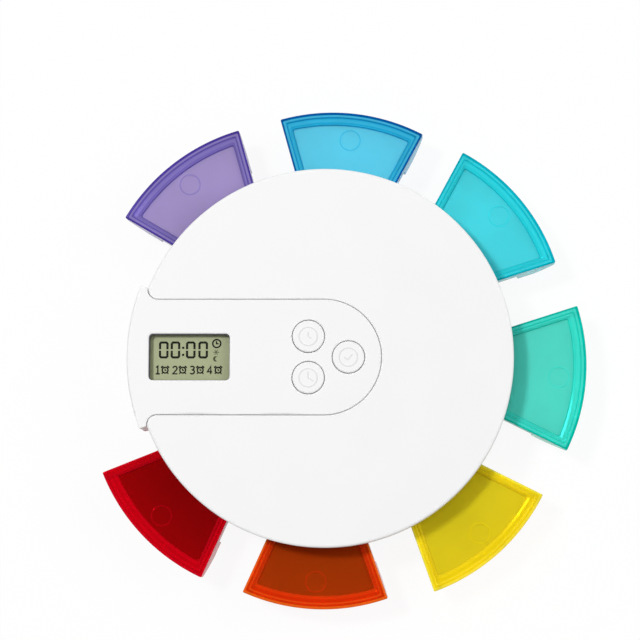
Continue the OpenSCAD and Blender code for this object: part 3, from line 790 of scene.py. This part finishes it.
# Display and button marks
def ribbon(bm, points, width, z, thick, closed=False):
    """A flat line of even width along points, as a thin solid."""
    n = len(points)
    left, right = [], []
    for k, (x, y) in enumerate(points):
        before = points[k - 1] if closed or k else points[k]
        after = points[(k + 1) % n] if closed or k < n - 1 else points[k]
        d1 = Vector((x - before[0], y - before[1]))
        d2 = Vector((after[0] - x, after[1] - y))
        d1 = d1.normalized() if d1.length else d2.normalized()
        d2 = d2.normalized() if d2.length else d1
        mid = (d1 + d2).normalized()
        side = Vector((-mid.y, mid.x)) * (width / 2 / max(0.5, mid.dot(d1)))
        left.append((x + side.x, y + side.y))
        right.append((x - side.x, y - side.y))
    rows = [ring(bm, [(x, y, h) for x, y in s]) for s, h in
            ((left, z), (left, z + thick), (right, z + thick), (right, z))]
    count = n if closed else n - 1
    for k in range(count):
        j = (k + 1) % n
        for a in range(4):
            b = (a + 1) % 4
            bm.faces.new((rows[a][k], rows[a][j], rows[b][j], rows[b][k]))
    if not closed:
        bm.faces.new([rows[a][0] for a in range(4)])
        bm.faces.new([rows[a][-1] for a in (3, 2, 1, 0)])


def blot(bm, points, z, thick):
    """A filled outline, as a thin solid."""
    low = ring(bm, [(x, y, z) for x, y in points])
    high = ring(bm, [(x, y, z + thick) for x, y in points])
    bridge(bm, low, high)
    bm.faces.new(high)
    bm.faces.new(list(reversed(low)))


# Display marks, in millimetres from the middle of the window
MARK_T = 0.05
DIGIT_X = (-10.29, -6.41, -1.33, 2.78)
DIGIT_LOW = -0.28
DIGIT_SIZE = (3.17, 5.64)
DIGIT_LINE, DIGIT_GAP, DIGIT_BEVEL = 0.72, 0.24, 0.38
COLON_X = -2.26
COLON_Y = (3.25, 0.91)
COLON_HALF = 0.36
DIAL_AT = (8.84, 4.67)
ROW_Y = -4.14
ALARM_X = (-8.19, -2.36, 3.44, 9.37)
NUMERAL_LINE = 0.46
# Lines of the numerals 1 to 4, by their place along the row
NUMERALS = {
    -10.69: [[(-0.5, 0.85), (0.08, 1.3), (0.08, -1.2)], [(-0.62, -1.25), (0.75, -1.25)]],
    -4.89: [[(-0.72, 0.7), (-0.45, 1.12), (0, 1.26), (0.45, 1.12), (0.66, 0.62), (0.5, 0.15), (-0.72, -1.22),
             (0.78, -1.22)]],
    0.84: [[(-0.66, 1.0), (-0.3, 1.24), (0.2, 1.24), (0.58, 0.92), (0.52, 0.4), (0.02, 0.1), (0.55, -0.16),
            (0.68, -0.66), (0.34, -1.14), (-0.2, -1.26), (-0.72, -1.0)]],
    6.6: [[(0.34, -1.32), (0.34, 1.26), (-0.78, -0.52), (0.8, -0.52)]],
}
# Every second line of a numeral lies this much higher
LINE_STEP = 0.004
SUN_AT = (8.68, 1.8)
SUN_R, RAY_START, RAY_END, RAYS = 0.28, 0.58, 0.94, 6
MOON_Y = -0.4


def lcd_digit(bm, u, v, z):
    """A seven-bar zero with bevelled corners and a gap at mid height."""
    w, h = DIGIT_SIZE
    half = DIGIT_LINE / 2
    x0, x1, y0, y1 = u + half, u + w - half, v + half, v + h - half
    mid = v + h / 2
    for sy, y in ((1, y1), (-1, y0)):
        bars = [(x0, mid + sy * DIGIT_GAP), (x0, y - sy * DIGIT_BEVEL), (x0 + DIGIT_BEVEL, y),
                (x1 - DIGIT_BEVEL, y), (x1, y - sy * DIGIT_BEVEL), (x1, mid + sy * DIGIT_GAP)]
        ribbon(bm, bars, DIGIT_LINE, z, MARK_T)


def lcd_circle(bm, cx, cy, r, n, line, z):
    ribbon(bm, arc(cx, cy, r, 0, 2 * math.pi, n)[:-1], line, z, MARK_T, closed=True)


def alarm_clock(bm, cx, cy, z):
    """A small clock with hands, two bells and two feet."""
    lcd_circle(bm, cx, cy, 0.95, 32, 0.46, z)
    ribbon(bm, [(cx - 0.04, cy + 0.5), (cx - 0.04, cy), (cx + 0.38, cy - 0.2)], 0.34, z, MARK_T)
    for s in (-1, 1):
        ribbon(bm, [(cx + s * 0.66, cy + 1.36), (cx + s * 1.34, cy + 0.8)], 0.5, z, MARK_T)
        ribbon(bm, [(cx + s * 0.8, cy - 0.86), (cx + s * 1.06, cy - 1.24)], 0.4, z, MARK_T)


def make_display(dark, faint):
    """Digits, dial, numerals and alarm clocks in one piece; the faint sun and moon in another."""
    z = GLASS_Z + 0.01
    at = LCD_AT
    bm = bmesh.new()
    for u in DIGIT_X:
        lcd_digit(bm, at[0] + u, at[1] + DIGIT_LOW, z)
    h = COLON_HALF
    for v in COLON_Y:
        dot = [(at[0] + COLON_X + x, at[1] + v + y) for x, y in ((-h, -h), (h, -h), (h, h), (-h, h))]
        blot(bm, dot, z, MARK_T)
    cx, cy = at[0] + DIAL_AT[0], at[1] + DIAL_AT[1]
    lcd_circle(bm, cx, cy, 1.32, 40, 0.5, z)
    ribbon(bm, [(cx - 0.08, cy + 0.8), (cx - 0.08, cy - 0.08), (cx + 0.62, cy - 0.08)], 0.44, z, MARK_T)
    row = at[1] + ROW_Y
    for u, lines in NUMERALS.items():
        for k, line in enumerate(lines):
            stroke = [(at[0] + u + x, row + y) for x, y in line]
            ribbon(bm, stroke, NUMERAL_LINE, z + LINE_STEP * k, MARK_T)
    for u in ALARM_X:
        alarm_clock(bm, at[0] + u, row, z)
    piece("lcd_marks", bm, dark, "housing", "lcd_glass", smooth=False)
    bm = bmesh.new()
    cx, cy = at[0] + SUN_AT[0], at[1] + SUN_AT[1]
    lcd_circle(bm, cx, cy, SUN_R, 20, 0.3, z)
    for k in range(RAYS):
        a = k * 2 * math.pi / RAYS
        ray = [(cx + r * math.cos(a), cy + r * math.sin(a)) for r in (RAY_START, RAY_END)]
        ribbon(bm, ray, 0.26, z, MARK_T)
    cy = at[1] + MOON_Y
    rad = math.radians
    moon = arc(cx - 0.1, cy, 0.9, rad(55), rad(305), 22) + arc(cx + 0.42, cy, 0.74, rad(275), rad(85), 14)
    blot(bm, moon, z, MARK_T)
    piece("lcd_faint_marks", bm, faint, "housing", "lcd_glass", smooth=False)


# Raised mark of each button inside its ring: a short clock hand, a long one, and a tick
BUTTON_RING_R, BUTTON_LINE, BUTTON_MARK_T = 3.0, 0.36, 0.16
BUTTON_SINK = 0.03
BUTTON_MARKS = {
    "hour": ((0, 1.5), (0, 0), (0.95, -0.55)),
    "minute": ((0, 2.0), (0, 0), (1.75, -1.0)),
    "set": ((-1.2, 0.05), (-0.3, -0.95), (1.35, 1.0)),
}


def make_button_mark(which, mat):
    x, y = BUTTONS[which]
    z = CAP_Z - BUTTON_SINK
    bm = bmesh.new()
    around = arc(x, y, BUTTON_RING_R, 0, 2 * math.pi, 56)[:-1]
    ribbon(bm, around, BUTTON_LINE, z, BUTTON_MARK_T, closed=True)
    ribbon(bm, [(x + dx, y + dy) for dx, dy in BUTTON_MARKS[which]], BUTTON_LINE, z, BUTTON_MARK_T)
    return piece(which + "_mark", bm, mat, which + "_button", "button_white", smooth=False)


# Scene
make_camera()
make_world()
make_floor()
for name, (at, size, power) in LAMPS.items():
    area_light(name, at, size, power)

white = moulded("housing_white", (0.89, 0.89, 0.89), rough=0.48, shine=0.35)
panel_white = moulded("panel_white", (0.885, 0.885, 0.885), rough=0.46, shine=0.35)
button_white = moulded("button_white", (0.885, 0.885, 0.885), rough=0.44, shine=0.35)
finish = {
    "housing_white": white,
    "panel_white": panel_white,
    "button_white": button_white,
    "dome_rubber": moulded("dome_rubber", (0.33, 0.33, 0.34), rough=0.7),
    "screw_steel": moulded("screw_steel", (0.55, 0.55, 0.56), rough=0.3, metal=1.0, grain=2500),
    "lens_clear": clear_sheet("lens_clear", (0.02, 0.02, 0.02), 0.08),
    "lcd_glass": moulded("lcd_glass", (0.50, 0.55, 0.30), rough=0.3, spread=0.06, grain=500, depth=0.00001),
    "reflector_foil": moulded("reflector_foil", (0.8, 0.8, 0.8), rough=0.35, metal=1.0),
    "zebra_rubber": moulded("zebra_rubber", (0.05, 0.05, 0.06), rough=0.6),
    "holder_plastic": moulded("holder_plastic", (0.7, 0.68, 0.6), rough=0.5),
    "board_green": moulded("board_green", (0.02, 0.16, 0.07), rough=0.35),
    "chip_epoxy": moulded("chip_epoxy", (0.02, 0.02, 0.02), rough=0.3),
    "crystal_can": moulded("crystal_can", (0.7, 0.7, 0.7), rough=0.25, metal=1.0),
    "chip_ceramic": moulded("chip_ceramic", (0.45, 0.3, 0.18), rough=0.5),
    "buzzer_black": moulded("buzzer_black", (0.03, 0.03, 0.03), rough=0.5),
    "cell_steel": moulded("cell_steel", (0.72, 0.72, 0.7), rough=0.25, metal=1.0),
    "contact_nickel": moulded("contact_nickel", (0.7, 0.66, 0.55), rough=0.3, metal=1.0),
}
for name, ob in NODES.items():
    kind = ob.data.materials[0].name.split(".")[0] if ob.data.materials else ""
    if kind in finish:
        ob.data.materials[0] = finish[kind]

make_cover(white)
make_panel(panel_white)
# Dark lining of the window, partly painted shade along its left and top
make_window_lining_and_shade(finish["zebra_rubber"])
ink = moulded("lcd_ink", (0.006, 0.010, 0.003), rough=0.4, shine=0.05)
faint_ink = moulded("lcd_faint_ink", (0.09, 0.105, 0.05), rough=0.4, shine=0.05)
make_display(ink, faint_ink)
# The raised button marks are painted a darker grey than the caps, painted shade standing for the shade along
# their raised edges
mark_white = moulded("mark_white", (0.74, 0.74, 0.74), rough=0.4)
for which in BUTTONS:
    make_button_mark(which, mark_white)
for i, colour in enumerate(COLOURS):
    make_tray(i, colour, tinted("tray_" + colour, TINT[colour], TRAY_ROUGH))
    make_lid(i, colour, tinted("lid_" + colour, TINT[colour], LID_ROUGH))

bpy.context.scene.view_settings.view_transform = "Standard"
